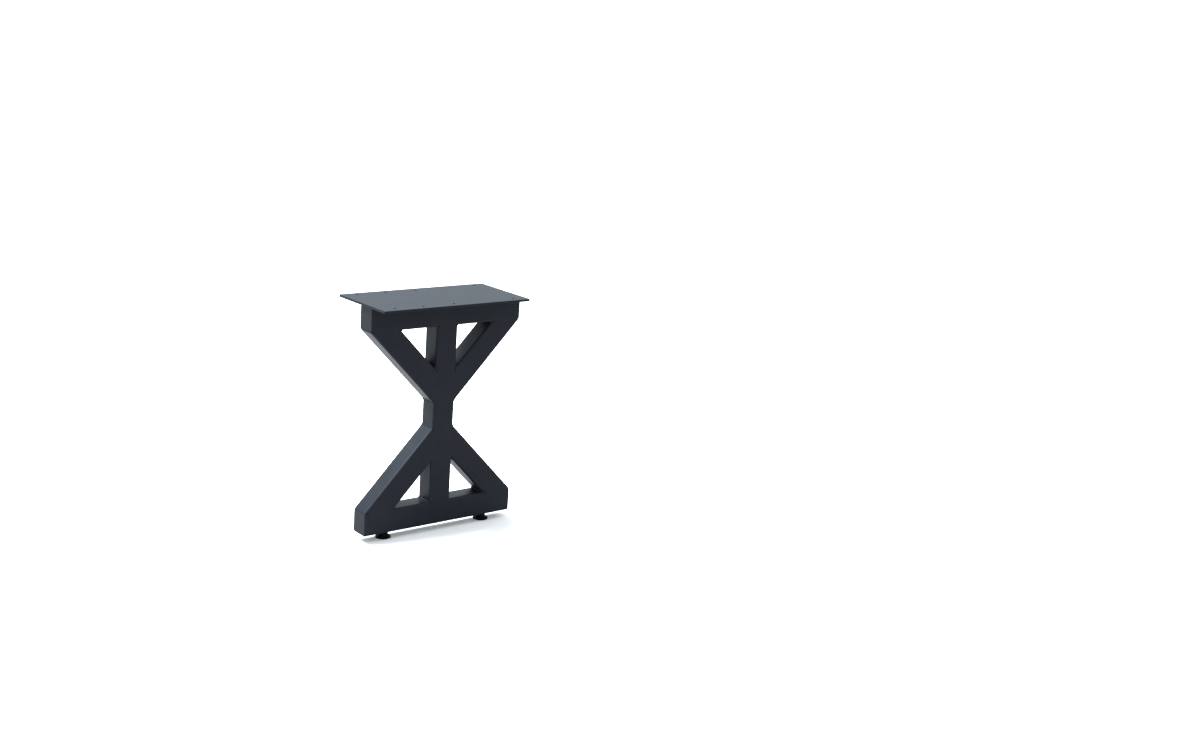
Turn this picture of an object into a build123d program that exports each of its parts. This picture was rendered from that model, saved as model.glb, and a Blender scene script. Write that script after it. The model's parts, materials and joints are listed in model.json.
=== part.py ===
"""Welded steel table leg: an X of box tube round a column, on two levelling feet."""
import os
from math import cos, radians, sin, tan

from build123d import *

# Box tube, the same for the beams, the column and the braces
tube_face = 72.0
tube_depth = 64.0
tube_wall = 2.5
tube_corner = 7.0

# Frame
beam_length = 516.0
cap_thickness = 4.0
cap_edge = 2.5
column_length = 536.0
brace_angle = 46.0

# Mounting plate, welded on the top beam a little to the left of the column and set back
plate_length = 500.0
plate_width = 250.0
plate_thickness = 7.0
plate_corner = 3.0
plate_shift = -14.0
plate_setback = 17.0

# Screw holes in the plate, in two rows along its long edges
hole_diameter = 8.5
hole_row_spacing = 204.0
outer_hole_spacing = 408.0
inner_hole_spacing = 105.0
inner_holes_shift = -57.5

# Welds, ground flush where they fill the rounded edges of the tubes
weld_gap = 0.02
weld_fill = 5.6
seam_weld_length = 60.0
seam_weld_count = 3

# Levelling feet, screwed right in
foot_inset = 83.0
foot_height = 23.0
seat_gap = 0.3
pad_diameter = 46.0
pad_rim = 5.0
hub_flats = 27.0
hub_top_chamfer = 1.0
flare_height = 13.0
stud_diameter = 10.0
stud_engagement = 36.0
stud_socket = 14.0
moulding_gap = 0.02
thread_gap = 0.05
stud_tip_chamfer = 1.0

# Threaded insert in the bottom beam, over each foot
insert_flange_diameter = 19.0
insert_flange = 1.5
insert_body_diameter = 15.0
insert_length = 18.0
insert_gap = 0.05

# Places worked out from the sizes above, with the floor at zero height
bottom_beam_low = foot_height
bottom_beam_top = bottom_beam_low + tube_face
top_beam_low = bottom_beam_top + column_length
top_beam_top = top_beam_low + tube_face
left_reach = max(plate_length / 2 - plate_shift, beam_length / 2)
right_reach = max(plate_length / 2 + plate_shift, beam_length / 2)
front_reach = max(plate_width / 2 - plate_setback, tube_depth / 2)
back_reach = max(plate_width / 2 + plate_setback, tube_depth / 2)
column_x = (left_reach - right_reach) / 2
column_y = (front_reach - back_reach) / 2
plate_x = column_x + plate_shift
plate_y = column_y + plate_setback
beam_tube_length = beam_length - 2 * cap_thickness
foot_spacing = beam_length - 2 * foot_inset
brace_run = beam_length / 2 - tube_face / 2
brace_foot = tube_face / sin(radians(brace_angle))
brace_head = tube_face / cos(radians(brace_angle))
brace_drop = brace_run * tan(radians(brace_angle))
insert_face = bottom_beam_low - insert_flange
hub_top = insert_face - seat_gap
sides = {"left": -1, "right": 1}
levels = {"lower": -1, "upper": 1}


def draw_tube_section():
    """Draw the tube's hollow section, its face width along the sketch's own X."""
    RectangleRounded(tube_face, tube_depth, tube_corner)
    RectangleRounded(
        tube_face - 2 * tube_wall,
        tube_depth - 2 * tube_wall,
        max(tube_corner - tube_wall, tube_wall / 2),
        mode=Mode.SUBTRACT,
    )


def save(part, label):
    """Name a finished piece and write it to its own file."""
    part.label = label
    export_step(part, f"parts/{label}.step")


def make_beam(low, foot_holes, label):
    """A level tube between its two end caps, with holes in its underside over the feet or without."""
    with BuildPart() as beam:
        start = Plane(
            origin=(column_x - beam_tube_length / 2, column_y, low + tube_face / 2),
            x_dir=(0, 0, 1),
            z_dir=(1, 0, 0),
        )
        with BuildSketch(start):
            draw_tube_section()
        extrude(amount=beam_tube_length)
        if foot_holes:
            underside = Plane(origin=(column_x, column_y, low), x_dir=(1, 0, 0), z_dir=(0, 0, -1))
            with BuildSketch(underside):
                with GridLocations(foot_spacing, 0, 2, 1):
                    Circle(insert_body_diameter / 2 + insert_gap)
            extrude(amount=-2 * tube_wall, mode=Mode.SUBTRACT)
    save(beam.part, label)


def make_cap(low, side, label):
    """The plate that closes one end of a beam."""
    with BuildPart() as cap:
        face = Plane(
            origin=(column_x + side * beam_tube_length / 2, column_y, low + tube_face / 2),
            x_dir=(0, 0, 1),
            z_dir=(side, 0, 0),
        )
        with BuildSketch(face):
            RectangleRounded(tube_face, tube_depth, tube_corner)
        extrude(amount=cap_thickness)
        outer_face = cap.faces().sort_by(Axis.X)[0 if side < 0 else -1]
        chamfer(outer_face.edges(), length=cap_edge)
    save(cap.part, label)


def make_brace(side, level, label):
    """A slanting tube, mitred to the beam at one end and to the column at the other."""
    beam_side = top_beam_low if level > 0 else bottom_beam_top
    slope = radians(brace_angle)
    along = Vector(-side * cos(slope), 0, -level * sin(slope))
    inward = Vector(-side * sin(slope), 0, level * cos(slope))
    corner = Vector(column_x + side * beam_length / 2, column_y, beam_side)
    overrun = 2 * tube_face
    start = corner + inward * (tube_face / 2) - along * overrun
    with BuildPart() as brace:
        with BuildSketch(Plane(origin=start, x_dir=inward, z_dir=along)):
            draw_tube_section()
        extrude(amount=brace_run / cos(slope) + 2 * overrun)
        split(bisect_by=Plane(origin=corner, x_dir=(1, 0, 0), z_dir=(0, 0, -level)))
        column_side = (column_x + side * tube_face / 2, column_y, 0)
        split(bisect_by=Plane(origin=column_side, x_dir=(0, 1, 0), z_dir=(side, 0, 0)))
    save(brace.part, label)


def draw_groove(across, up):
    """Draw the fill between a tube's rounded edge and its sharp corner, here at the origin.

    The fill runs from the corner along across and up, both 1 or -1, and stops short of
    the arc's thin ends.
    """
    with Locations((across * weld_fill / 2, up * weld_fill / 2)):
        Rectangle(weld_fill, weld_fill)
    with Locations((across * tube_corner, up * tube_corner)):
        Circle(tube_corner + weld_gap, mode=Mode.SUBTRACT)


def make_groove_welds(level, label):
    """Welds that fill the grooves where the tubes' flat sides meet the rounded edges of others."""
    beam_side = top_beam_low if level > 0 else bottom_beam_top
    with BuildPart() as welds:
        for side in sides.values():
            brace_low = column_x + side * (beam_length / 2 - brace_foot / 2)
            grooves = [(brace_low, (tube_face - 2 * tube_corner) / sin(radians(brace_angle)))]
            if side > 0:
                grooves.append((column_x, tube_face - 2 * tube_corner))
            for middle, length in grooves:
                for face in (-1, 1):
                    edge = Plane(
                        origin=(middle - length / 2, column_y + face * tube_depth / 2, beam_side),
                        x_dir=(0, 1, 0),
                        z_dir=(1, 0, 0),
                    )
                    with BuildSketch(edge):
                        draw_groove(-face, level)
                    extrude(amount=length)
            joint_height = beam_side - level * (brace_drop - brace_head / 2)
            joint_length = (tube_face - 2 * tube_corner) / cos(radians(brace_angle))
            for face in (-1, 1):
                start = (
                    column_x + side * tube_face / 2,
                    column_y + face * tube_depth / 2,
                    joint_height - joint_length / 2,
                )
                with BuildSketch(Plane(origin=start)):
                    draw_groove(-side, -face)
                extrude(amount=joint_length)
    save(welds.part, label)


os.makedirs("parts", exist_ok=True)

# Mounting plate
with BuildPart() as mounting_plate:
    with BuildSketch(Plane.XY.offset(top_beam_top)) as plate_outline:
        with Locations((plate_x, plate_y)):
            RectangleRounded(plate_length, plate_width, plate_corner)
            with GridLocations(outer_hole_spacing, hole_row_spacing, 2, 2):
                Circle(hole_diameter / 2, mode=Mode.SUBTRACT)
        with Locations((plate_x + inner_holes_shift, plate_y)):
            with GridLocations(inner_hole_spacing, hole_row_spacing, 2, 2):
                Circle(hole_diameter / 2, mode=Mode.SUBTRACT)
    extrude(amount=plate_thickness)
save(mounting_plate.part, "mounting_plate")

# Column
with BuildPart() as column:
    with BuildSketch(Plane(origin=(column_x, column_y, bottom_beam_top))):
        draw_tube_section()
    extrude(amount=column_length)
save(column.part, "column")

# Beams, end caps and braces
for beam_name, beam_low in {"bottom": bottom_beam_low, "top": top_beam_low}.items():
    make_beam(beam_low, beam_name == "bottom", f"{beam_name}_beam")
    for side_name, side in sides.items():
        make_cap(beam_low, side, f"{beam_name}_{side_name}_end_cap")
for level_name, level in levels.items():
    for side_name, side in sides.items():
        make_brace(side, level, f"{level_name}_{side_name}_brace")
    make_groove_welds(level, f"{level_name}_groove_welds")

# Seam welds in the groove between the plate and the top beam's rounded edges
with BuildPart() as plate_welds:
    seam_pitch = (beam_length - seam_weld_length) / seam_weld_count
    for face in (-1, 1):
        for number in range(seam_weld_count):
            middle = column_x + (number - (seam_weld_count - 1) / 2) * seam_pitch
            seam = Plane(
                origin=(middle - seam_weld_length / 2, column_y + face * tube_depth / 2, top_beam_top),
                x_dir=(0, 1, 0),
                z_dir=(1, 0, 0),
            )
            with BuildSketch(seam):
                draw_groove(-face, -1)
            extrude(amount=seam_weld_length)
save(plate_welds.part, "plate_welds")

# Levelling feet
for side_name, side in sides.items():
    foot_x = column_x + side * foot_spacing / 2

    with BuildPart() as insert:
        with BuildSketch(Plane(origin=(foot_x, column_y, insert_face))):
            Circle(insert_flange_diameter / 2)
        extrude(amount=insert_flange)
        with BuildSketch(Plane(origin=(foot_x, column_y, bottom_beam_low))):
            Circle(insert_body_diameter / 2)
        extrude(amount=insert_length)
        with BuildSketch(Plane(origin=(foot_x, column_y, insert_face))):
            Circle(stud_diameter / 2 + thread_gap)
        extrude(amount=insert_flange + insert_length, mode=Mode.SUBTRACT)
    save(insert.part, f"{side_name}_threaded_insert")

    with BuildPart() as stud:
        stud_low = hub_top - stud_socket
        with BuildSketch(Plane(origin=(foot_x, column_y, stud_low))):
            Circle(stud_diameter / 2)
        extrude(amount=stud_socket + seat_gap + insert_flange + stud_engagement)
        chamfer(stud.edges().group_by(Axis.Z)[-1], length=stud_tip_chamfer)
    save(stud.part, f"{side_name}_foot_stud")

    with BuildPart() as pad:
        with BuildSketch(Plane(origin=(foot_x, column_y, 0), x_dir=(1, 0, 0), z_dir=(0, -1, 0))):
            with BuildLine():
                Polyline(
                    (0, flare_height),
                    (0, 0),
                    (pad_diameter / 2, 0),
                    (pad_diameter / 2, pad_rim),
                    (hub_flats / 2, flare_height),
                    close=True,
                )
            make_face()
        revolve(axis=Axis((foot_x, column_y, 0), (0, 0, 1)))
        with BuildSketch(Plane(origin=(foot_x, column_y, flare_height))):
            RegularPolygon(hub_flats / 2, 6, major_radius=False)
        extrude(amount=hub_top - flare_height)
        chamfer(pad.edges().group_by(Axis.Z)[-1], length=hub_top_chamfer)
        with BuildSketch(Plane(origin=(foot_x, column_y, stud_low))):
            Circle(stud_diameter / 2 + moulding_gap)
        extrude(amount=stud_socket, mode=Mode.SUBTRACT)
    save(pad.part, f"{side_name}_foot_pad")
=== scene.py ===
"""Looks of a welded steel table leg: satin black powder coat, moulded feet, zinc studs."""
import json
import logging
import math
from dataclasses import dataclass
from enum import Enum

import bmesh
import bpy
from mathutils import Matrix, Vector

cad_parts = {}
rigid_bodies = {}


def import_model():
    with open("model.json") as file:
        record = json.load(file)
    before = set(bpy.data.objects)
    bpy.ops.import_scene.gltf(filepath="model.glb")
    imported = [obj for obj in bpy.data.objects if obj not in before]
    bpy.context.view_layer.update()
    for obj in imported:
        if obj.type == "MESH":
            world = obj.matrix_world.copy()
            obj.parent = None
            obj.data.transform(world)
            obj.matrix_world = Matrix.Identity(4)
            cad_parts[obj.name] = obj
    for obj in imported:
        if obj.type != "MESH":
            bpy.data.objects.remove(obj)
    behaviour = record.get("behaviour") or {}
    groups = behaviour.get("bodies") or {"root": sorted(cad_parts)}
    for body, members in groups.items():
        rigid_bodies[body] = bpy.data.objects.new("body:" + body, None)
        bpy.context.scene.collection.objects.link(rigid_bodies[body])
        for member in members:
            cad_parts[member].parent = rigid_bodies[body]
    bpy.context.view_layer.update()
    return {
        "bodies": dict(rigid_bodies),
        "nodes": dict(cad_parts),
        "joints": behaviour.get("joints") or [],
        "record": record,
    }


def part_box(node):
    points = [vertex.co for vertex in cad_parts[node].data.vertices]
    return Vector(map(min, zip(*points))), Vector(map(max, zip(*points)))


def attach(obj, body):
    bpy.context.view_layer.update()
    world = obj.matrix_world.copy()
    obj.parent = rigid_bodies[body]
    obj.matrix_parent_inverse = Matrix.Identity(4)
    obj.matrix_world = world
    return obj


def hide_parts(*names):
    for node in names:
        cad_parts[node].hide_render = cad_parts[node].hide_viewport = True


LOG = logging.getLogger("table_leg")
PHOTO_WIDTH = 1200
PHOTO_HEIGHT = 750
MM = 0.001

# Points nearer to each other than this are joined, and faces that turn less are merged.
MERGE_GAP = 0.001 * MM
FLAT_ANGLE = 0.001

# The height of the column's middle, which places the camera.
COLUMN_MIDDLE = 0.355

# The sockets of a colour mix, which are numbered because several share a name.
MIX_SHARE = 0
MIX_COLOURS = (6, 7)
MIX_RESULT = 2

# The wide wave of the grain against the fine one, and the noise that gives no cloud and a full one.
SWELL_SHARE = 0.37
CLOUD_RANGE = (0.35, 0.65)

# How well the rounded and the true direction of a surface agree at a full edge and on a flat face.
EDGE_RANGE = (0.75, 0.985)
EDGE_SAMPLES = 6

# The noise that breaks the wear up, where it starts and ends, and the wear that it leaves at least.
PATCH_SCALE = 160.0
PATCH_RANGE = (0.45, 0.6)
PATCH_LEAST = 0.25

Node = bpy.types.Node
Socket = bpy.types.NodeSocket
Tree = bpy.types.NodeTree
Material = bpy.types.Material
Piece = bpy.types.Object
Colour = tuple[float, float, float]
Row = tuple[float, float, float]


class Slot(Enum):
    """The record's material slots."""

    POWDER_COAT = "powder_coat"
    ZINC_STEEL = "zinc_steel"
    FOOT_PLASTIC = "foot_plastic"


class Body(Enum):
    """The rigid bodies of the leg."""

    FRAME = "frame"
    LEFT_FOOT = "left_foot"
    RIGHT_FOOT = "right_foot"


def set_input(node: Node, key: str | int, value: object) -> None:
    """Set one input of a node, or link a socket to it.

    Args:
        node: the node that is changed.
        key: the input's name or number.
        value: a plain value, or the socket that feeds the input.
    """
    if isinstance(value, Socket):
        node.id_data.links.new(value, node.inputs[key])
    else:
        node.inputs[key].default_value = value


def add_node(tree: Tree, kind: str, settings: dict | None = None, **inputs: object) -> Node:
    """Add a node to a tree.

    Args:
        tree: the tree that gets the node.
        kind: the node's Blender type.
        settings: the node's own properties.
        inputs: input names, with spaces written as underscores, and their values or sockets.

    Returns:
        The new node.
    """
    node = tree.nodes.new(kind)
    for name, value in (settings or {}).items():
        setattr(node, name, value)
    for name, value in inputs.items():
        set_input(node, name.replace("_", " "), value)
    return node


def add_math(tree: Tree, operation: str, first: object, second: object) -> Socket:
    """Add a math node.

    Args:
        tree: the tree that gets the node.
        operation: the node's operation, such as MULTIPLY.
        first: the first value or socket.
        second: the second value or socket.

    Returns:
        The node's result.
    """
    node = add_node(tree, "ShaderNodeMath", {"operation": operation})
    set_input(node, 0, first)
    set_input(node, 1, second)
    return node.outputs[0]


def mix_colours(tree: Tree, share: Socket, first: object, second: object) -> Socket:
    """Mix two colours.

    Args:
        tree: the tree that gets the node.
        share: how much of the second colour shows.
        first: a colour or socket.
        second: a colour or socket.

    Returns:
        The mixed colour.
    """
    node = add_node(tree, "ShaderNodeMix", {"data_type": "RGBA"})
    set_input(node, MIX_SHARE, share)
    for key, colour in zip(MIX_COLOURS, (first, second)):
        set_input(node, key, colour if isinstance(colour, Socket) else (*colour, 1.0))
    return node.outputs[MIX_RESULT]


def stretch(tree: Tree, value: Socket, given: tuple, wanted: tuple) -> Socket:
    """Map a value from one range to another, clamped.

    Args:
        tree: the tree that gets the node.
        value: the value that is mapped.
        given: the two ends of its range, as values or sockets.
        wanted: the results at those ends, as values or sockets.

    Returns:
        The mapped value.
    """
    node = add_node(
        tree, "ShaderNodeMapRange", Value=value,
        From_Min=given[0], From_Max=given[1], To_Min=wanted[0], To_Max=wanted[1],
    )
    return node.outputs[0]


def new_group(
    name: str, inputs: dict[str, float], outputs: tuple[str, ...]
) -> tuple[Tree, Node, Node]:
    """Make an empty shader node group with float sockets.

    Args:
        name: the group's name.
        inputs: the names of its inputs and their usual values.
        outputs: the names of its outputs.

    Returns:
        The group, its input node and its output node.
    """
    group = bpy.data.node_groups.new(name, "ShaderNodeTree")
    for label, value in inputs.items():
        socket = group.interface.new_socket(label, in_out="INPUT", socket_type="NodeSocketFloat")
        socket.default_value = value
    for label in outputs:
        group.interface.new_socket(label, in_out="OUTPUT", socket_type="NodeSocketFloat")
    return group, group.nodes.new("NodeGroupInput"), group.nodes.new("NodeGroupOutput")


def make_grain_group() -> Tree:
    """Build the group that gives a surface its fine relief and its slow, cloudy variation.

    Returns:
        A group with Height, a relief from 0 to 1, and Cloud, a soft mask from 0 to 1.
    """
    usual = {"Grain Scale": 700.0, "Cloud Scale": 14.0}
    group, given, made = new_group("surface_grain", usual, ("Height", "Cloud"))
    fine = given.outputs["Grain Scale"]
    slow = given.outputs["Cloud Scale"]
    place = add_node(group, "ShaderNodeTexCoord").outputs["Object"]
    grain = add_node(group, "ShaderNodeTexNoise", Vector=place, Scale=fine, Detail=2.0)
    coarse = add_math(group, "MULTIPLY", fine, SWELL_SHARE)
    swell = add_node(group, "ShaderNodeTexNoise", Vector=place, Scale=coarse, Detail=1.0)
    both = add_math(group, "ADD", grain.outputs[0], swell.outputs[0])
    group.links.new(add_math(group, "MULTIPLY", both, 0.5), made.inputs["Height"])
    cloud = add_node(group, "ShaderNodeTexNoise", Vector=place, Scale=slow, Detail=4.0)
    mask = stretch(group, cloud.outputs[0], CLOUD_RANGE, (0.0, 1.0))
    group.links.new(mask, made.inputs["Cloud"])
    return group


def make_edge_group() -> Tree:
    """Build the group that finds rubbed edges, where the surface turns within a small radius.

    Returns:
        A group with Mask, which is 1 on a worn edge and 0 on a flat face.
    """
    group, given, made = new_group("edge_rub", {"Radius": 0.001, "Amount": 1.0}, ("Mask",))
    rounded = add_node(
        group, "ShaderNodeBevel", {"samples": EDGE_SAMPLES}, Radius=given.outputs["Radius"]
    )
    flat = add_node(group, "ShaderNodeNewGeometry")
    match = add_node(group, "ShaderNodeVectorMath", {"operation": "DOT_PRODUCT"})
    set_input(match, 0, rounded.outputs[0])
    set_input(match, 1, flat.outputs["Normal"])
    edge = stretch(group, match.outputs["Value"], EDGE_RANGE, (1.0, 0.0))
    place = add_node(group, "ShaderNodeTexCoord").outputs["Object"]
    broken = add_node(group, "ShaderNodeTexNoise", Vector=place, Scale=PATCH_SCALE, Detail=5.0)
    patch = stretch(group, broken.outputs[0], PATCH_RANGE, (PATCH_LEAST, 1.0))
    patchy = add_math(group, "MULTIPLY", edge, patch)
    worn = add_math(group, "MULTIPLY", patchy, given.outputs["Amount"])
    group.links.new(worn, made.inputs["Mask"])
    return group


@dataclass(frozen=True)
class CoatedFinish:
    """A painted, plated or moulded surface with fine relief, cloudy tone and rubbed edges."""

    name: str
    base: Colour
    cloud_tone: Colour
    edge_tone: Colour
    roughness: tuple[float, float]
    specular: float
    metallic: float
    grain_scale: float
    grain_depth: float
    cloud_scale: float
    edge_radius: float
    edge_amount: float

    def build(self, grain: Tree, edges: Tree) -> Material:
        """Make the finish's material.

        Args:
            grain: the shared grain group.
            edges: the shared group that finds rubbed edges.

        Returns:
            The new material.
        """
        material = bpy.data.materials.new(self.name)
        material.use_nodes = True
        tree = material.node_tree
        shader = tree.nodes["Principled BSDF"]
        relief = add_node(
            tree, "ShaderNodeGroup", {"node_tree": grain},
            Grain_Scale=self.grain_scale, Cloud_Scale=self.cloud_scale,
        )
        rub = add_node(
            tree, "ShaderNodeGroup", {"node_tree": edges},
            Radius=self.edge_radius, Amount=self.edge_amount,
        )
        cloud = relief.outputs["Cloud"]
        clouded = mix_colours(tree, cloud, self.base, self.cloud_tone)
        worn = mix_colours(tree, rub.outputs["Mask"], clouded, self.edge_tone)
        bump = add_node(
            tree, "ShaderNodeBump",
            Height=relief.outputs["Height"], Distance=self.grain_depth, Strength=1.0,
        )
        set_input(shader, "Base Color", worn)
        set_input(shader, "Roughness", stretch(tree, cloud, (0.0, 1.0), self.roughness))
        set_input(shader, "Normal", bump.outputs[0])
        set_input(shader, "Metallic", self.metallic)
        set_input(shader, "Specular IOR Level", self.specular)
        return material


POWDER_COAT = CoatedFinish(
    name="powder_coat",
    base=(0.0072, 0.0084, 0.0126),
    cloud_tone=(0.0090, 0.0104, 0.0152),
    edge_tone=(0.045, 0.051, 0.060),
    roughness=(0.385, 0.415),
    specular=0.14,
    metallic=0.0,
    grain_scale=1000.0,
    grain_depth=0.10 * MM,
    cloud_scale=16.0,
    edge_radius=1.0 * MM,
    edge_amount=0.30,
)
FOOT_PLASTIC = CoatedFinish(
    name="foot_plastic",
    base=(0.0022, 0.0022, 0.0024),
    cloud_tone=(0.0040, 0.0040, 0.0042),
    edge_tone=(0.015, 0.015, 0.015),
    roughness=(0.50, 0.62),
    specular=0.08,
    metallic=0.0,
    grain_scale=2200.0,
    grain_depth=0.05 * MM,
    cloud_scale=60.0,
    edge_radius=0.5 * MM,
    edge_amount=0.4,
)
ZINC_STEEL = CoatedFinish(
    name="zinc_steel",
    base=(0.46, 0.47, 0.48),
    cloud_tone=(0.58, 0.58, 0.57),
    edge_tone=(0.72, 0.72, 0.71),
    roughness=(0.28, 0.42),
    specular=0.5,
    metallic=1.0,
    grain_scale=3200.0,
    grain_depth=0.02 * MM,
    cloud_scale=180.0,
    edge_radius=0.3 * MM,
    edge_amount=0.8,
)


def add_object(name: str, data: bpy.types.ID) -> bpy.types.Object:
    """Put a new object into the scene.

    Args:
        name: the object's name.
        data: its mesh, camera or light.

    Returns:
        The new object, at the origin.
    """
    item = bpy.data.objects.new(name, data)
    bpy.context.scene.collection.objects.link(item)
    return item


def finish_mesh(shape: bmesh.types.BMesh, name: str) -> Piece:
    """Turn a finished shape into a piece in the scene.

    Args:
        shape: the shape, which is used up.
        name: the piece's name.

    Returns:
        The new piece.
    """
    mesh = bpy.data.meshes.new(name)
    shape.to_mesh(mesh)
    shape.free()
    return add_object(name, mesh)


def merge_copy(node: Piece, name: str) -> Piece:
    """Copy a CAD node into a new piece with its loose triangles joined.

    Args:
        node: the CAD node.
        name: the new piece's name.

    Returns:
        The new piece.
    """
    shape = bmesh.new()
    shape.from_mesh(node.data)
    bmesh.ops.remove_doubles(shape, verts=shape.verts, dist=MERGE_GAP)
    bmesh.ops.dissolve_limit(
        shape, angle_limit=FLAT_ANGLE, verts=shape.verts, edges=shape.edges
    )
    return finish_mesh(shape, name)


def apply_modifiers(piece: Piece) -> None:
    """Turn a piece's mesh into the plain result of its modifiers, and take them off.

    Args:
        piece: the piece, which gets a new mesh.
    """
    bpy.context.view_layer.update()
    evaluated = piece.evaluated_get(bpy.context.evaluated_depsgraph_get())
    mesh = bpy.data.meshes.new_from_object(evaluated)
    piece.modifiers.clear()
    mesh.name = piece.name
    piece.data = mesh


def shade_by_angle(piece: Piece, degrees: float) -> None:
    """Shade a piece smooth, with flat faces kept flat and edges sharper than an angle kept sharp.

    Args:
        piece: the piece, which gets a new mesh.
        degrees: the angle.
    """
    piece.data.shade_smooth()
    piece.data.set_sharp_from_angle(angle=math.radians(degrees))
    weighted = piece.modifiers.new("flat_faces", "WEIGHTED_NORMAL")
    weighted.keep_sharp = True
    apply_modifiers(piece)


def dress(piece: Piece, material: Material) -> None:
    """Give a piece or a node one material on all its faces.

    Args:
        piece: the piece or node.
        material: its new and only material.
    """
    piece.data.materials.clear()
    piece.data.materials.append(material)


def box_middle(low: Vector, high: Vector, height: float) -> Vector:
    """Give the point in the middle of a box, as seen from above.

    Args:
        low: the box's low corner.
        high: the box's high corner.
        height: the point's height.

    Returns:
        The point.
    """
    return Vector(((low.x + high.x) / 2, (low.y + high.y) / 2, height))


def new_shape_tree(name: str, values: dict[str, object]) -> tuple[Tree, Node, Node]:
    """Make an empty Geometry Nodes tree with named inputs.

    Args:
        name: the tree's name.
        values: each input's name and usual value: a length, a whole number or a material.

    Returns:
        The tree, its input node and its output node.
    """
    tree = bpy.data.node_groups.new(name, "GeometryNodeTree")
    sockets = tree.interface
    sockets.new_socket("Geometry", in_out="INPUT", socket_type="NodeSocketGeometry")
    for label, value in values.items():
        if isinstance(value, Material):
            sockets.new_socket(label, in_out="INPUT", socket_type="NodeSocketMaterial")
            continue
        kind = "NodeSocketInt" if isinstance(value, int) else "NodeSocketFloat"
        sockets.new_socket(label, in_out="INPUT", socket_type=kind).default_value = value
    sockets.new_socket("Geometry", in_out="OUTPUT", socket_type="NodeSocketGeometry")
    return tree, tree.nodes.new("NodeGroupInput"), tree.nodes.new("NodeGroupOutput")


def close_shape_tree(tree: Tree, shape: Socket, material: Socket, end: Node) -> None:
    """End a tree: instances made real, smooth shading and the material.

    Args:
        tree: the tree.
        shape: the geometry so far.
        material: the input that gives the material.
        end: the tree's output node.
    """
    real = add_node(tree, "GeometryNodeRealizeInstances", Geometry=shape)
    smooth = add_node(tree, "GeometryNodeSetShadeSmooth", Geometry=real.outputs[0])
    dressed = add_node(
        tree, "GeometryNodeSetMaterial", Geometry=smooth.outputs[0], Material=material
    )
    tree.links.new(dressed.outputs[0], end.inputs[0])


def bake_nodes(base: bpy.types.Mesh, tree: Tree, values: dict[str, object], name: str) -> Piece:
    """Run a Geometry Nodes tree on a mesh and keep the result as a plain mesh.

    Args:
        base: the mesh that the tree starts from.
        tree: the tree.
        values: the tree's inputs by name.
        name: the new piece's name.

    Returns:
        The new piece, without modifiers.
    """
    piece = add_object(name, base)
    modifier = piece.modifiers.new(name, "NODES")
    modifier.node_group = tree
    for item in tree.interface.items_tree:
        if item.item_type == "SOCKET" and item.in_out == "INPUT" and item.name in values:
            modifier[item.identifier] = values[item.name]
    piece.update_tag()
    apply_modifiers(piece)
    return piece


@dataclass
class WeldedFrame:
    """The coated steelwork: each CAD node as a joined, smooth-shaded copy.

    The cut edges of the plate and the caps are softened.
    """

    frame: dict
    coat: Material
    plate_edge: float = 0.7 * MM
    cap_edge: float = 1.2 * MM
    edge_segments: int = 3
    edge_profile: float = 0.5
    edge_angle: float = 32.0
    smooth_angle: float = 28.0
    hole_step: float = 1.0 * MM

    def build(self) -> list[Piece]:
        """Make every coated piece of the frame.

        Returns:
            The new pieces.
        """
        slots = {row["node"]: row["material_slot"] for row in self.frame["record"]["subparts"]}
        names = sorted(self.frame["nodes"])
        return [self.make_piece(name) for name in names if slots[name] == Slot.POWDER_COAT.value]

    def make_piece(self, name: str) -> Piece:
        """Make one coated piece in place of its CAD node.

        Args:
            name: the node's name.

        Returns:
            The new piece.
        """
        piece = merge_copy(self.frame["nodes"][name], f"{name}_coated")
        if name == "mounting_plate":
            self.soften(piece, self.plate_edge)
        elif name.endswith("end_cap"):
            self.soften(piece, self.cap_edge)
        shade_by_angle(piece, self.smooth_angle)
        dress(piece, self.coat)
        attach(piece, Body.FRAME.value)
        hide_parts(name)
        return piece

    def soften(self, piece: Piece, width: float) -> None:
        """Round a piece's sharp edges a little, apart from the short steps round its holes.

        Args:
            piece: the piece.
            width: how far the rounding reaches on each side.
        """
        shape = bmesh.new()
        shape.from_mesh(piece.data)
        limit = math.radians(self.edge_angle)
        joined = [edge for edge in shape.edges if edge.is_manifold]
        sharp = [edge for edge in joined if edge.calc_face_angle() > limit]
        bmesh.ops.bevel(
            shape, geom=[edge for edge in sharp if edge.calc_length() > self.hole_step],
            offset=width, segments=self.edge_segments, profile=self.edge_profile,
            affect="EDGES", clamp_overlap=True,
        )
        shape.to_mesh(piece.data)
        shape.free()


@dataclass(frozen=True)
class Seam:
    """One weld seam, as x and z of two points.

    At the corner it crosses the tube, and from there it turns in to meet the ground weld.
    """

    corner: tuple[float, float]
    turn_in: tuple[float, float]
    crosses: bool = True

    def paths(
        self, front: float, back: float, edge_room: float, turn_room: float
    ) -> list[list[Vector]]:
        """Give the lines that the seam's beads follow.

        Args:
            front: the tube's front face.
            back: the tube's back face.
            edge_room: how far inside the faces the crossing ends.
            turn_room: how far inside the faces the turned-in ends lie.

        Returns:
            One line for a seam that crosses the tube, or else two short ones.
        """
        turns = (front + turn_room, back - turn_room)
        corners = (front + edge_room, back - edge_room)
        starts = [Vector((self.turn_in[0], y, self.turn_in[1])) for y in turns]
        edges = [Vector((self.corner[0], y, self.corner[1])) for y in corners]
        if self.crosses:
            return [[starts[0], edges[0], edges[1], starts[1]]]
        inside = Vector((0.0, edge_room, 0.0))
        return [[starts[0], edges[0] + inside], [starts[1], edges[1] - inside]]


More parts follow.
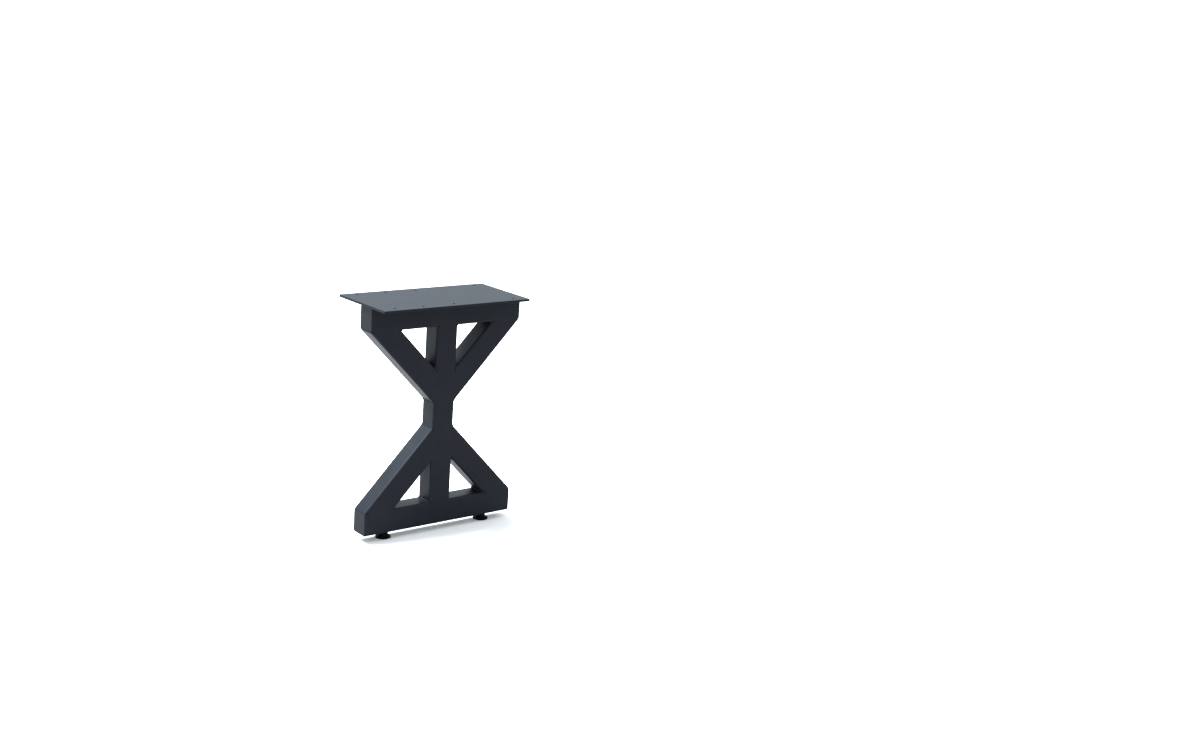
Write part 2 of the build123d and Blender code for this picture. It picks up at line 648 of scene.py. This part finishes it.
@dataclass
class SeamBeads:
    """The rippled weld beads in the inside corners, coated over like the tubes."""

    coat: Material
    bead_radius: float = 2.3 * MM
    bead_length: float = 2.1 * MM
    bead_pitch: float = 1.5 * MM
    bead_segments: int = 8
    bead_rings: int = 5
    edge_room: float = 3.6 * MM
    turn_room: float = 2.7 * MM
    turn_length: float = 8.0 * MM
    column_turn: float = 0.7
    sharp_shift: float = 2.2 * MM
    end_inset: float = 2.6 * MM
    spread: float = 0.10
    seed: int = 7

    def column_seams(self, low: Vector, high: Vector) -> list[Seam]:
        """Find the seams at the column's ends.

        Args:
            low: the low corner of the column's box.
            high: the high corner of the column's box.

        Returns:
            The seams, two at each end.
        """
        turn = self.turn_length * self.column_turn
        return [
            Seam((x, z), (x + inward, z))
            for x, inward in ((low.x, turn), (high.x, -turn)) for z in (low.z, high.z)
        ]

    def brace_seams(self, name: str, column_low: Vector, column_high: Vector) -> list[Seam]:
        """Find the seams at both ends of a brace, from its box and the column's.

        Args:
            name: the brace's node.
            column_low: the low corner of the column's box.
            column_high: the high corner of the column's box.

        Returns:
            The brace's four seams.
        """
        low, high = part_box(name)
        tube = column_high.x - column_low.x
        side = 1 if low.x > (column_low.x + column_high.x) / 2 else -1
        level = 1 if name.startswith("upper") else -1
        slope = math.atan2(high.z - low.z, high.x - low.x)
        beam_side, point = (high.z, low.z) if level > 0 else (low.z, high.z)
        near, far = (column_high.x, high.x) if side > 0 else (column_low.x, low.x)
        root = far - side * tube / math.sin(slope)
        crotch = point + level * tube / math.cos(slope)
        shift = self.sharp_shift
        lean = shift * math.tan(slope / 2)
        turn = self.turn_length
        return [
            Seam((root - side * shift, beam_side - level * lean), (root + side * turn, beam_side)),
            Seam((near + side * lean, crotch + level * shift), (near, crotch - level * turn)),
            Seam((near, point), (near, point + level * turn)),
            Seam((far - side * self.end_inset, beam_side), (far - side * turn, beam_side), False),
        ]

    def seams(self) -> list[Seam]:
        """Find all seams from the boxes of the column and the braces.

        Returns:
            The seams of the column's ends and of both ends of each brace.
        """
        low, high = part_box("column")
        found = self.column_seams(low, high)
        for name in (
            "upper_left_brace", "upper_right_brace", "lower_left_brace", "lower_right_brace"
        ):
            found += self.brace_seams(name, low, high)
        return found

    def inputs(self) -> dict[str, object]:
        """Give the tree's inputs by name.

        Returns:
            The inputs.
        """
        return {
            "Pitch": self.bead_pitch,
            "Radius": self.bead_radius,
            "Length": self.bead_length,
            "Spread": self.spread,
            "Seed": self.seed,
            "Coat": self.coat,
        }

    def make_tree(self) -> Tree:
        """Build the tree that lays beads along every edge of a mesh.

        Returns:
            The Geometry Nodes tree.
        """
        tree, given, end = new_shape_tree("weld_beads", self.inputs())
        spread = given.outputs["Spread"]
        path = add_node(tree, "GeometryNodeMeshToCurve", Mesh=given.outputs["Geometry"])
        steps = add_node(
            tree, "GeometryNodeResampleCurve", {"mode": "LENGTH"},
            Curve=path.outputs[0], Length=given.outputs["Pitch"],
        )
        ball = add_node(
            tree, "GeometryNodeMeshUVSphere",
            Segments=self.bead_segments, Rings=self.bead_rings, Radius=1.0,
        )
        tangent = add_node(tree, "GeometryNodeInputTangent")
        turn = add_node(
            tree, "FunctionNodeAlignRotationToVector", {"axis": "Z"}, Vector=tangent.outputs[0]
        )
        least = add_math(tree, "SUBTRACT", 1.0, spread)
        most = add_math(tree, "ADD", 1.0, spread)
        chance = add_node(tree, "FunctionNodeRandomValue", {"data_type": "FLOAT"})
        shown = [socket for socket in chance.inputs if socket.enabled]
        for name, value in (("Min", least), ("Max", most), ("Seed", given.outputs["Seed"])):
            tree.links.new(value, next(socket for socket in shown if socket.name == name))
        factor = next(socket for socket in chance.outputs if socket.enabled)
        wide = add_math(tree, "MULTIPLY", given.outputs["Radius"], factor)
        size = add_node(
            tree, "ShaderNodeCombineXYZ", X=wide, Y=wide, Z=given.outputs["Length"]
        )
        beads = add_node(
            tree, "GeometryNodeInstanceOnPoints", Points=steps.outputs[0],
            Instance=ball.outputs[0], Rotation=turn.outputs[0], Scale=size.outputs[0],
        )
        close_shape_tree(tree, beads.outputs[0], given.outputs["Coat"], end)
        return tree

    def build(self) -> Piece:
        """Make all beads as one piece.

        Returns:
            The new piece.
        """
        low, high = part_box("column")
        shape = bmesh.new()
        for seam in self.seams():
            for path in seam.paths(low.y, high.y, self.edge_room, self.turn_room):
                points = [shape.verts.new(point) for point in path]
                for pair in zip(points, points[1:]):
                    shape.edges.new(pair)
        paths = bpy.data.meshes.new("seam_paths")
        shape.to_mesh(paths)
        shape.free()
        piece = bake_nodes(paths, self.make_tree(), self.inputs(), "seam_weld_beads")
        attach(piece, Body.FRAME.value)
        return piece


@dataclass
class ThreadedStud:
    """A foot's stud with its real thread, 10 mm across with a 1.5 mm pitch."""

    steel: Material
    usual_radius: float = 5.0 * MM
    usual_length: float = 50.0 * MM
    crest_gap: float = 0.03 * MM
    thread_depth: float = 0.80 * MM
    pitch: float = 1.5 * MM
    lead_in: float = 1.6 * MM
    tip_share: float = 0.82
    turn_steps: int = 28
    ridge_sides: int = 4
    core_sides: int = 48
    smooth_angle: float = 30.0

    def inputs(self, radius: float, length: float) -> dict[str, object]:
        """Give the tree's inputs by name.

        Args:
            radius: the stud's radius over the thread.
            length: the stud's length.

        Returns:
            The inputs.
        """
        return {
            "Radius": radius,
            "Depth": self.thread_depth,
            "Length": length,
            "Pitch": self.pitch,
            "Lead In": self.lead_in,
            "Tip Share": self.tip_share,
            "Steel": self.steel,
        }

    def add_thread(self, tree: Tree, given: Node, core: Socket) -> Socket:
        """Add the nodes that wind the thread's ridge, from the stud's foot up to its tip.

        Args:
            tree: the tree.
            given: the tree's input node.
            core: the radius that the ridge is wound on.

        Returns:
            The ridge.
        """
        depth = given.outputs["Depth"]
        ends = add_math(tree, "MULTIPLY", depth, 2.0)
        run = add_math(tree, "SUBTRACT", given.outputs["Length"], ends)
        turns = add_math(tree, "DIVIDE", run, given.outputs["Pitch"])
        helix = add_node(
            tree, "GeometryNodeCurveSpiral", Resolution=self.turn_steps, Rotations=turns,
            Start_Radius=core, End_Radius=core, Height=run,
        )
        lift = add_node(tree, "ShaderNodeCombineXYZ", Z=depth)
        raised = add_node(
            tree, "GeometryNodeTransform",
            Geometry=helix.outputs[0], Translation=lift.outputs[0],
        )
        upright = add_node(
            tree, "GeometryNodeSetCurveNormal", {"mode": "Z_UP"}, Curve=raised.outputs[0]
        )
        ridge = add_node(
            tree, "GeometryNodeCurvePrimitiveCircle", Resolution=self.ridge_sides, Radius=depth
        )
        thread = add_node(
            tree, "GeometryNodeCurveToMesh", Curve=upright.outputs[0],
            Profile_Curve=ridge.outputs[0], Fill_Caps=True,
        )
        return thread.outputs[0]

    def add_core(self, tree: Tree, length: Socket, core: Socket) -> Socket:
        """Add the nodes of the plain rod inside the thread.

        Args:
            tree: the tree.
            length: the stud's length.
            core: the rod's radius.

        Returns:
            The rod, standing on the origin.
        """
        rod = add_node(
            tree, "GeometryNodeMeshCylinder", {"fill_type": "TRIANGLE_FAN"},
            Vertices=self.core_sides, Radius=core, Depth=length,
        )
        half = add_math(tree, "MULTIPLY", length, 0.5)
        centre = add_node(tree, "ShaderNodeCombineXYZ", Z=half)
        placed = add_node(
            tree, "GeometryNodeTransform",
            Geometry=rod.outputs[0], Translation=centre.outputs[0],
        )
        return placed.outputs[0]

    def make_tree(self) -> Tree:
        """Build the tree that winds a thread round a core and tapers the tip.

        Returns:
            The Geometry Nodes tree.
        """
        usual = self.inputs(self.usual_radius, self.usual_length)
        tree, given, end = new_shape_tree("threaded_stud", usual)
        length = given.outputs["Length"]
        core = add_math(tree, "SUBTRACT", given.outputs["Radius"], given.outputs["Depth"])
        thread = self.add_thread(tree, given, core)
        rod = self.add_core(tree, length, core)
        both = add_node(tree, "GeometryNodeJoinGeometry")
        tree.links.new(thread, both.inputs[0])
        tree.links.new(rod, both.inputs[0])
        position = add_node(tree, "GeometryNodeInputPosition").outputs[0]
        place = add_node(tree, "ShaderNodeSeparateXYZ", Vector=position)
        start = add_math(tree, "SUBTRACT", length, given.outputs["Lead In"])
        height = place.outputs["Z"]
        taper = stretch(tree, height, (start, length), (1.0, given.outputs["Tip Share"]))
        across = add_math(tree, "MULTIPLY", place.outputs["X"], taper)
        along = add_math(tree, "MULTIPLY", place.outputs["Y"], taper)
        pinched = add_node(tree, "ShaderNodeCombineXYZ", X=across, Y=along, Z=height)
        tipped = add_node(
            tree, "GeometryNodeSetPosition",
            Geometry=both.outputs[0], Position=pinched.outputs[0],
        )
        close_shape_tree(tree, tipped.outputs[0], given.outputs["Steel"], end)
        return tree

    def build(self, tree: Tree, node: str, body: Body) -> Piece:
        """Make one stud in place of its CAD node.

        Args:
            tree: the shared tree.
            node: the CAD node's name.
            body: the body it rides on.

        Returns:
            The new piece.
        """
        low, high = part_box(node)
        values = self.inputs((high.x - low.x) / 2 - self.crest_gap, high.z - low.z)
        piece = bake_nodes(bpy.data.meshes.new(node), tree, values, f"{node}_threaded")
        piece.data.transform(Matrix.Translation(box_middle(low, high, low.z)))
        shade_by_angle(piece, self.smooth_angle)
        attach(piece, body.value)
        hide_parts(node)
        return piece


@dataclass
class FootPad:
    """A moulded foot pad: a flared disc, a six-sided hub for a spanner and a socket for the stud.

    Its outline is given in rows of radius, height and how far the row is six-sided, from 0 to 1.
    """

    plastic: Material
    steps: int = 96
    round_steps: int = 3
    flare_steps: int = 8
    recess_radius: float = 17.0 * MM
    recess_depth: float = 0.8 * MM
    recess_middle: float = 0.5
    recess_bend: tuple[float, float] = (0.4 * MM, 0.3 * MM)
    recess_slant: float = 0.2 * MM
    rim_round: float = 1.1 * MM
    rim_height: float = 5.0 * MM
    flare_height: float = 13.0 * MM
    flare_inset: float = 2.2 * MM
    flare_sag: float = 0.9 * MM
    flare_power: float = 1.25
    hub_flats: float = 27.0 * MM
    hub_rise: float = 1.2 * MM
    hub_start: tuple[float, float] = (0.4, 0.6)
    hub_chamfer: float = 1.0 * MM
    chamfer_bend: tuple[float, float] = (0.35, 0.3)
    hub_top: float = 0.9
    corner_round: float = 1.2 * MM
    socket_radius: float = 5.02 * MM
    socket_depth: float = 13.9 * MM
    socket_chamfer: float = 0.5 * MM
    smooth_angle: float = 32.0

    def underside(self) -> list[Row]:
        """Give the rows of the recess in the underside.

        Returns:
            The rows, from the middle outwards.
        """
        bend_in, bend_down = self.recess_bend
        return [
            (self.recess_radius * self.recess_middle, self.recess_depth, 0.0),
            (self.recess_radius - bend_in, self.recess_depth, 0.0),
            (self.recess_radius, self.recess_depth - bend_down, 0.0),
            (self.recess_radius + self.recess_slant, 0.0, 0.0),
        ]

    def rim(self, radius: float) -> list[Row]:
        """Give the rows of the disc's rim, which is rounded below and above.

        Args:
            radius: the disc's radius.

        Returns:
            The rows, from the floor upwards.
        """
        turns = [math.pi / 2 * step / self.round_steps for step in range(self.round_steps + 1)]
        centre = radius - self.rim_round
        below = [
            (centre + self.rim_round * math.sin(turn), self.rim_round * (1 - math.cos(turn)), 0.0)
            for turn in turns
        ]
        above = [
            (
                centre + self.rim_round * math.cos(turn),
                self.rim_height - self.rim_round * (1 - math.sin(turn)),
                0.0,
            )
            for turn in turns
        ]
        return below + above

    def flare(self, radius: float) -> list[Row]:
        """Give the rows of the hollow slope from the rim to the hub.

        Args:
            radius: the disc's radius.

        Returns:
            The rows, from the rim upwards.
        """
        hub = self.hub_flats / 2
        start = radius - self.flare_inset
        rise = self.flare_height - self.rim_height
        rows = []
        for step in range(1, self.flare_steps + 1):
            share = step / self.flare_steps
            sag = math.sin(math.pi * share) * self.flare_sag
            height = self.rim_height + rise * share ** self.flare_power
            rows.append((start + (hub - start) * share - sag, height, 0.0))
        return rows

    def hub(self, top: float) -> list[Row]:
        """Give the rows of the hub and its socket.

        Args:
            top: the hub's height above the floor.

        Returns:
            The rows, up the hub's sides and down into the socket.
        """
        side = self.hub_flats / 2
        chamfer = self.hub_chamfer
        start, start_share = self.hub_start
        bend_in, bend_down = self.chamfer_bend
        return [
            (side, self.flare_height + self.hub_rise * start, start_share),
            (side, self.flare_height + self.hub_rise, 1.0),
            (side, top - chamfer, 1.0),
            (side - chamfer * bend_in, top - chamfer * bend_down, 1.0),
            (side - chamfer, top, self.hub_top),
            (self.socket_radius + self.socket_chamfer, top, 0.0),
            (self.socket_radius, top - self.socket_chamfer, 0.0),
            (self.socket_radius, top - self.socket_depth, 0.0),
        ]

    def side_reach(self, angle: float) -> float:
        """Say how far a six-sided hub with rounded corners reaches at an angle.

        Args:
            angle: the angle round the hub, which is 0 in the middle of a flat.

        Returns:
            The reach, as a share of the reach at the flats.
        """
        sixth = math.pi / 3
        from_flat = (angle + sixth / 2) % sixth - sixth / 2
        corner = 1 / math.cos(sixth / 2) - self.corner_round / self.hub_flats
        return min(1 / math.cos(from_flat), corner)

    def make_ring(self, shape: bmesh.types.BMesh, axis: Vector, row: Row) -> list:
        """Make the corners of one row of the outline.

        Args:
            shape: the shape that gets them.
            axis: the middle of the pad's underside.
            row: the row.

        Returns:
            The corners, once round.
        """
        radius, height, share = row
        ring = []
        for step in range(self.steps):
            angle = 2 * math.pi * step / self.steps
            reach = radius * (1 + share * (self.side_reach(angle) - 1))
            spot = Vector((reach * math.cos(angle), reach * math.sin(angle), height))
            ring.append(shape.verts.new(axis + spot))
        return ring

    def build(self, node: str, body: Body) -> Piece:
        """Make one pad in place of its CAD node.

        Args:
            node: the CAD node's name.
            body: the body it rides on.

        Returns:
            The new piece.
        """
        low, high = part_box(node)
        axis = box_middle(low, high, low.z)
        radius = (high.x - low.x) / 2
        rows = self.underside() + self.rim(radius) + self.flare(radius) + self.hub(high.z - low.z)
        shape = bmesh.new()
        rings = [self.make_ring(shape, axis, row) for row in rows]
        for inner, outer in zip(rings, rings[1:]):
            for step in range(self.steps):
                after = (step + 1) % self.steps
                shape.faces.new((inner[step], inner[after], outer[after], outer[step]))
        for ring in (rings[0], rings[-1]):
            middle = shape.verts.new(sum((vert.co for vert in ring), Vector()) / len(ring))
            for step in range(self.steps):
                shape.faces.new((ring[step], ring[(step + 1) % self.steps], middle))
        bmesh.ops.recalc_face_normals(shape, faces=shape.faces)
        piece = finish_mesh(shape, f"{node}_moulded")
        shade_by_angle(piece, self.smooth_angle)
        dress(piece, self.plastic)
        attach(piece, body.value)
        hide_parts(node)
        return piece


@dataclass
class PhotoCamera:
    """The photograph's camera, placed by the pixel that shows the column's middle."""

    middle: Vector
    azimuth: float = -40.325
    elevation: float = 13.994
    roll: float = -4.161
    lens: float = 45.743
    sensor: float = 36.0
    depth: float = 4.532
    pixel: tuple[float, float] = (437.80, 414.48)

    def build(self) -> bpy.types.Object:
        """Make the camera and set it as the scene's camera.

        Returns:
            The camera object.
        """
        turn, lift, roll = (math.radians(a) for a in (self.azimuth, self.elevation, self.roll))
        flat = math.cos(lift)
        ahead = Vector((-math.sin(turn) * flat, math.cos(turn) * flat, -math.sin(lift)))
        level = Vector((ahead.y, -ahead.x, 0.0)).normalized()
        below = ahead.cross(level)
        right = level * math.cos(roll) + below * math.sin(roll)
        down = below * math.cos(roll) - level * math.sin(roll)
        scale = self.sensor / self.lens / PHOTO_WIDTH * self.depth
        across = (self.pixel[0] - PHOTO_WIDTH / 2) * scale
        under = (self.pixel[1] - PHOTO_HEIGHT / 2) * scale
        eye = self.middle - right * across - down * under - ahead * self.depth
        data = bpy.data.cameras.new("photo_camera")
        data.lens = self.lens
        data.sensor_width = self.sensor
        camera = add_object("photo_camera", data)
        turned = Matrix((right, -down, -ahead)).transposed().to_4x4()
        camera.matrix_world = Matrix.Translation(eye) @ turned
        bpy.context.scene.camera = camera
        return camera


@dataclass(frozen=True)
class SoftBox:
    """One large area light, which the camera doesn't see."""

    name: str
    place: tuple[float, float, float]
    aim: tuple[float, float, float]
    size: tuple[float, float]
    radiance: float
    colour: Colour

    def build(self) -> bpy.types.Object:
        """Make the light.

        Returns:
            The light object.
        """
        data = bpy.data.lights.new(self.name, "AREA")
        data.shape = "RECTANGLE"
        data.size, data.size_y = self.size
        data.energy = self.radiance * math.pi * self.size[0] * self.size[1]
        data.color = self.colour
        light = add_object(self.name, data)
        light.visible_camera = False
        ahead = Vector(self.aim) - Vector(self.place)
        turned = ahead.to_track_quat("-Z", "Y").to_matrix().to_4x4()
        light.matrix_world = Matrix.Translation(self.place) @ turned
        return light


HIGH_BACK_BOX = SoftBox(
    name="high_back_box",
    place=(-1.45, 1.9, 4.2),
    aim=(0.0, 0.0, 0.42),
    size=(3.2, 1.5),
    radiance=50.0,
    colour=(0.90, 1.01, 1.08),
)


@dataclass
class Studio:
    """A white floor and backdrop, an even sky and a soft box high up behind the leg.

    The floor and the backdrop look white, but give less light back to the leg, as in a studio
    with dark walls.
    """

    box: SoftBox
    floor_half: float = 40.0
    floor_tone: Colour = (0.97, 0.93, 0.915)
    floor_bounce: float = 0.46
    floor_roughness: float = 1.0
    floor_specular: float = 0.0
    backdrop: float = 1.2
    sky: Colour = (0.93, 1.03, 1.085)
    sky_light: tuple[float, float] = (0.89, 1.48)
    sky_top: float = 0.6

    def build(self) -> None:
        """Make the floor, the sky and the soft box."""
        self.lay_floor()
        self.light_sky()
        self.box.build()

    def lay_floor(self) -> None:
        """Lay the floor, which is white to the camera and duller to the leg."""
        reach = self.floor_half
        corners = [(-reach, -reach, 0), (reach, -reach, 0), (reach, reach, 0), (-reach, reach, 0)]
        mesh = bpy.data.meshes.new("floor")
        mesh.from_pydata(corners, [], [(0, 1, 2, 3)])
        floor = add_object("floor", mesh)
        material = bpy.data.materials.new("floor_paper")
        material.use_nodes = True
        tree = material.node_tree
        shader = tree.nodes["Principled BSDF"]
        dull = tuple(part * self.floor_bounce for part in self.floor_tone)
        seen = add_node(tree, "ShaderNodeLightPath").outputs["Is Camera Ray"]
        set_input(shader, "Base Color", mix_colours(tree, seen, dull, self.floor_tone))
        set_input(shader, "Roughness", self.floor_roughness)
        set_input(shader, "Specular IOR Level", self.floor_specular)
        mesh.materials.append(material)

    def light_sky(self) -> None:
        """Light the sky, brighter towards the top, with an even white backdrop to the camera."""
        world = bpy.context.scene.world or bpy.data.worlds.new("sky")
        bpy.context.scene.world = world
        world.use_nodes = True
        tree = world.node_tree
        back = tree.nodes["Background"]
        set_input(back, "Color", (*self.sky, 1.0))
        aim = add_node(tree, "ShaderNodeTexCoord").outputs["Generated"]
        height = add_node(tree, "ShaderNodeSeparateXYZ", Vector=aim).outputs["Z"]
        light = stretch(tree, height, (0.0, self.sky_top), self.sky_light)
        seen = add_node(tree, "ShaderNodeLightPath").outputs["Is Camera Ray"]
        set_input(back, "Strength", stretch(tree, seen, (0.0, 1.0), (light, self.backdrop)))


def main() -> None:
    """Load the frame, dress it, and set the studio and the camera."""
    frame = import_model()
    bpy.context.scene.view_settings.view_transform = "Standard"
    grain = make_grain_group()
    edges = make_edge_group()
    coat = POWDER_COAT.build(grain, edges)
    plastic = FOOT_PLASTIC.build(grain, edges)
    steel = ZINC_STEEL.build(grain, edges)
    low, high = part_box("column")
    Studio(HIGH_BACK_BOX).build()
    PhotoCamera(box_middle(low, high, COLUMN_MIDDLE)).build()
    pieces = [*WeldedFrame(frame, coat).build(), SeamBeads(coat).build()]
    stud = ThreadedStud(steel)
    thread_tree = stud.make_tree()
    pad = FootPad(plastic)
    for side, body in (("left", Body.LEFT_FOOT), ("right", Body.RIGHT_FOOT)):
        dress(frame["nodes"][f"{side}_threaded_insert"], steel)
        pieces.append(stud.build(thread_tree, f"{side}_foot_stud", body))
        pieces.append(pad.build(f"{side}_foot_pad", body))
    for piece in pieces:
        LOG.info("%s: %d faces", piece.name, len(piece.data.polygons))


if __name__ == "__main__":
    logging.basicConfig(level=logging.INFO, format="%(message)s")
    main()
